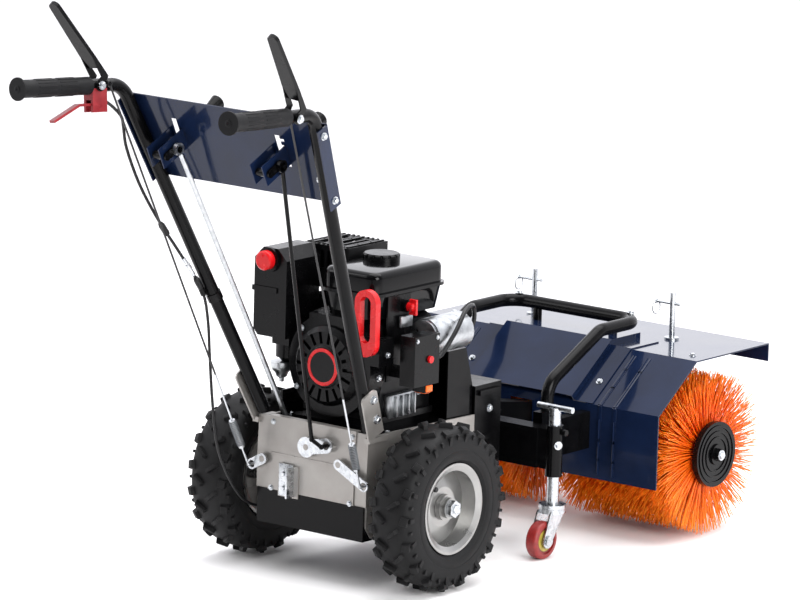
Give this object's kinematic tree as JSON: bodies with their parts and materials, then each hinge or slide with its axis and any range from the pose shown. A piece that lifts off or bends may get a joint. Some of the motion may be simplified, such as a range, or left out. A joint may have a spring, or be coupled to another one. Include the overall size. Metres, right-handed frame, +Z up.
{
  "type": "power brush sweeper",
  "caption": "Walk-behind power brush sweeper: engine on a wheeled chassis, handlebars with levers, and a hooded rotary brush on a swivelling deck with castors.",
  "frame": {"origin": "ground under the middle of the overall box", "axes": "+Y forwards to the brush, +X to the operator's right, +Z up"},
  "size_m": [0.739, 1.6276, 1.1431],
  "materials": {
    "navy_paint": "gloss",
    "black_paint": "satin",
    "grey_paint": "satin",
    "red_paint": "satin",
    "rim_paint": "satin",
    "zinc": "satin",
    "engine_alloy": "matte",
    "bright_alloy": "satin",
    "black_plastic": "matte",
    "tank_shell": "gloss",
    "red_plastic": "gloss",
    "grip_rubber": "matte",
    "lead_rubber": "matte",
    "tread": "matte",
    "bristle": "matte",
    "castor_roll": "matte"
  },
  "bodies": {
    "tractor": {"side_plates": "grey_paint", "engine_deck": "black_paint", "rear_cover": "grey_paint", "bottom_pan": "black_paint", "front_frame": "black_paint", "belt_cover": "black_paint", "handle_tubes": "black_paint", "grips": "grip_rubber", "control_panel": "navy_paint", "steer_bracket": "red_paint", "steer_cable": "lead_rubber", "crankcase": "engine_alloy", "cylinder_head": "engine_alloy", "recoil_cover": "black_plastic", "fuel_tank": "tank_shell", "air_box": "black_plastic", "muffler": "black_paint", "starter_box": "black_plastic", "starter_motor": "bright_alloy", "starter_lead": "lead_rubber"},
    "wheel_right": {"tyre_right": "tread", "rim_right": "rim_paint", "axle": "zinc"},
    "wheel_left": {"tyre_left": "tread", "rim_left": "rim_paint"},
    "deck": {"hood": "navy_paint", "centre_cover": "navy_paint", "deck_frame": "black_paint", "chain_case": "engine_alloy", "guard_bar": "black_paint", "hood_posts": "zinc"},
    "brush": {"brush_shaft": "black_plastic", "bristles_left": "bristle", "bristles_right": "bristle", "end_discs": "black_plastic"},
    "fuel_cap": {"fuel_cap": "black_plastic"},
    "choke_knob": {"choke_knob": "red_plastic"},
    "starter_grip": {"starter_grip": "red_plastic"},
    "ignition_key": {"ignition_key": "red_plastic"},
    "start_button": {"start_button": "red_plastic"},
    "drive_lever": {"drive_lever": "black_plastic"},
    "brush_lever": {"brush_lever": "black_plastic"},
    "drive_wire": {"drive_wire": "zinc"},
    "brush_wire": {"brush_wire": "zinc"},
    "drive_arm": {"drive_arm": "zinc"},
    "brush_arm": {"brush_arm": "zinc"},
    "steer_lever": {"steer_lever": "red_paint"},
    "gear_lever": {"gear_lever": "black_plastic"},
    "gear_rod": {"gear_rod": "black_paint"},
    "gear_crank": {"gear_crank": "zinc"},
    "angle_lever": {"angle_lever": "black_plastic"},
    "angle_rod": {"angle_rod": "bright_alloy"},
    "lynch_pin_left": {"lynch_pin_left": "zinc"},
    "lynch_pin_right": {"lynch_pin_right": "zinc"},
    "castor_stem_left": {"castor_stem_left": "zinc"},
    "castor_stem_right": {"castor_stem_right": "zinc"},
    "castor_fork_left": {"castor_fork_left": "zinc"},
    "castor_fork_right": {"castor_fork_right": "zinc"},
    "castor_wheel_left": {"castor_wheel_left": "castor_roll"},
    "castor_wheel_right": {"castor_wheel_right": "castor_roll"}
  },
  "joints": [
    {"name": "wheel_right_spin", "type": "hinge", "parent": "tractor", "child": "wheel_right", "pos_m": [0.224, -0.1247, 0.165], "axis": [1, 0, 0], "continuous": true},
    {"name": "wheel_left_spin", "type": "hinge", "parent": "tractor", "child": "wheel_left", "pos_m": [-0.224, -0.1247, 0.165], "axis": [1, 0, 0], "continuous": true},
    {"name": "deck_swivel", "type": "hinge", "parent": "tractor", "child": "deck", "pos_m": [0, 0.2203, 0.15], "axis": [0, 0, 1], "range_deg": [-15, 15]},
    {"name": "brush_spin", "type": "hinge", "parent": "deck", "child": "brush", "pos_m": [0, 0.6133, 0.168], "axis": [1, 0, 0], "continuous": true},
    {"name": "castor_height_right", "type": "slide", "parent": "deck", "child": "castor_stem_right", "axis": [0, 0, 1], "range_m": [-0.025, 0.025]},
    {"name": "castor_swivel_right", "type": "hinge", "parent": "castor_stem_right", "child": "castor_fork_right", "pos_m": [0.22, 0.2533, 0.097], "axis": [0, 0, 1], "continuous": true},
    {"name": "castor_roll_right", "type": "hinge", "parent": "castor_fork_right", "child": "castor_wheel_right", "pos_m": [0.22, 0.2203, 0.0375], "axis": [1, 0, 0], "continuous": true},
    {"name": "castor_height_left", "type": "slide", "parent": "deck", "child": "castor_stem_left", "axis": [0, 0, 1], "range_m": [-0.025, 0.025]},
    {"name": "castor_swivel_left", "type": "hinge", "parent": "castor_stem_left", "child": "castor_fork_left", "pos_m": [-0.22, 0.2533, 0.097], "axis": [0, 0, 1], "continuous": true},
    {"name": "castor_roll_left", "type": "hinge", "parent": "castor_fork_left", "child": "castor_wheel_left", "pos_m": [-0.22, 0.2203, 0.0375], "axis": [1, 0, 0], "continuous": true},
    {"name": "brush_lever_press", "type": "hinge", "parent": "tractor", "child": "brush_lever", "pos_m": [0.2374, -0.6131, 0.97753], "axis": [0.9904, 0.0723, -0.1181], "range_deg": [0, 45], "stiffness_Nm_per_rad": 2, "springref_deg": -20.05},
    {"name": "drive_lever_press", "type": "hinge", "parent": "tractor", "child": "drive_lever", "pos_m": [-0.2374, -0.6131, 0.97753], "axis": [0.9904, -0.0723, 0.1181], "range_deg": [0, 45], "stiffness_Nm_per_rad": 2, "springref_deg": -20.05},
    {"name": "brush_wire_pull", "type": "slide", "parent": "tractor", "child": "brush_wire", "axis": [0.0924, -0.4006, 0.9116], "range_m": [0, 0.0145]},
    {"name": "drive_wire_pull", "type": "slide", "parent": "tractor", "child": "drive_wire", "axis": [-0.0924, -0.4006, 0.9116], "range_m": [0, 0.0145]},
    {"name": "brush_arm_turn", "type": "hinge", "parent": "tractor", "child": "brush_arm", "pos_m": [0.075, -0.2457, 0.24], "axis": [0, -1, 0], "range_deg": [0, 13]},
    {"name": "drive_arm_turn", "type": "hinge", "parent": "tractor", "child": "drive_arm", "pos_m": [-0.113, -0.2457, 0.222], "axis": [0, 1, 0], "range_deg": [0, 30]},
    {"name": "steer_lever_squeeze", "type": "hinge", "parent": "tractor", "child": "steer_lever", "pos_m": [-0.23311, -0.61589, 0.93988], "axis": [-0.9904, 0.0723, -0.1181], "range_deg": [0, 12], "stiffness_Nm_per_rad": 2, "springref_deg": -14.32},
    {"name": "gear_select", "type": "hinge", "parent": "tractor", "child": "gear_lever", "pos_m": [0.11, -0.53776, 0.84879], "axis": [1, 0, 0], "range_deg": [-18, 18]},
    {"name": "gear_rod_shift", "type": "slide", "parent": "tractor", "child": "gear_rod", "axis": [0, -0.4378, 0.8991], "range_m": [-0.009, 0.009]},
    {"name": "gear_crank_turn", "type": "hinge", "parent": "tractor", "child": "gear_crank", "pos_m": [-0.005, -0.2457, 0.262], "axis": [0, -1, 0], "range_deg": [-10, 10]},
    {"name": "angle_release", "type": "hinge", "parent": "tractor", "child": "angle_lever", "pos_m": [-0.14, -0.53776, 0.84879], "axis": [1, 0, 0], "range_deg": [-18, 18]},
    {"name": "angle_rod_shift", "type": "slide", "parent": "tractor", "child": "angle_rod", "axis": [0, -0.4378, 0.8991], "range_m": [-0.009, 0.009]},
    {"name": "starter_pull", "type": "slide", "parent": "tractor", "child": "starter_grip", "axis": [0, -1, 0], "range_m": [0, 0.45], "stiffness_N_per_m": 20, "springref_m": -0.1},
    {"name": "fuel_cap_turn", "type": "hinge", "parent": "tractor", "child": "fuel_cap", "pos_m": [0.01, -0.0447, 0.604], "axis": [0, 0, 1], "range_deg": [0, 90]},
    {"name": "choke_turn", "type": "hinge", "parent": "tractor", "child": "choke_knob", "pos_m": [-0.161, -0.1767, 0.598], "axis": [0, 1, 0], "range_deg": [0, 90]},
    {"name": "key_draw", "type": "slide", "parent": "tractor", "child": "ignition_key", "axis": [1, 0, 0], "range_m": [0, 0.01]},
    {"name": "start_press", "type": "slide", "parent": "tractor", "child": "start_button", "axis": [-1, 0, 0], "range_m": [0, 0.003], "stiffness_N_per_m": 600},
    {"name": "lynch_right_draw", "type": "slide", "parent": "deck", "child": "lynch_pin_right", "axis": [-1, 0, 0], "range_m": [0, 0.04]},
    {"name": "lynch_left_draw", "type": "slide", "parent": "deck", "child": "lynch_pin_left", "axis": [-1, 0, 0], "range_m": [0, 0.04]}
  ],
  "couplings": [
    {"joint": "brush_wire_pull", "follows": "brush_lever_press", "m_per_rad": 0.017545},
    {"joint": "brush_arm_turn", "follows": "brush_lever_press", "ratio": 0.2756},
    {"joint": "drive_wire_pull", "follows": "drive_lever_press", "m_per_rad": 0.017545},
    {"joint": "drive_arm_turn", "follows": "drive_lever_press", "ratio": 0.6},
    {"joint": "gear_rod_shift", "follows": "gear_select", "m_per_rad": 0.027},
    {"joint": "gear_crank_turn", "follows": "gear_select", "ratio": 0.5},
    {"joint": "angle_rod_shift", "follows": "angle_release", "m_per_rad": 0.027}
  ]
}
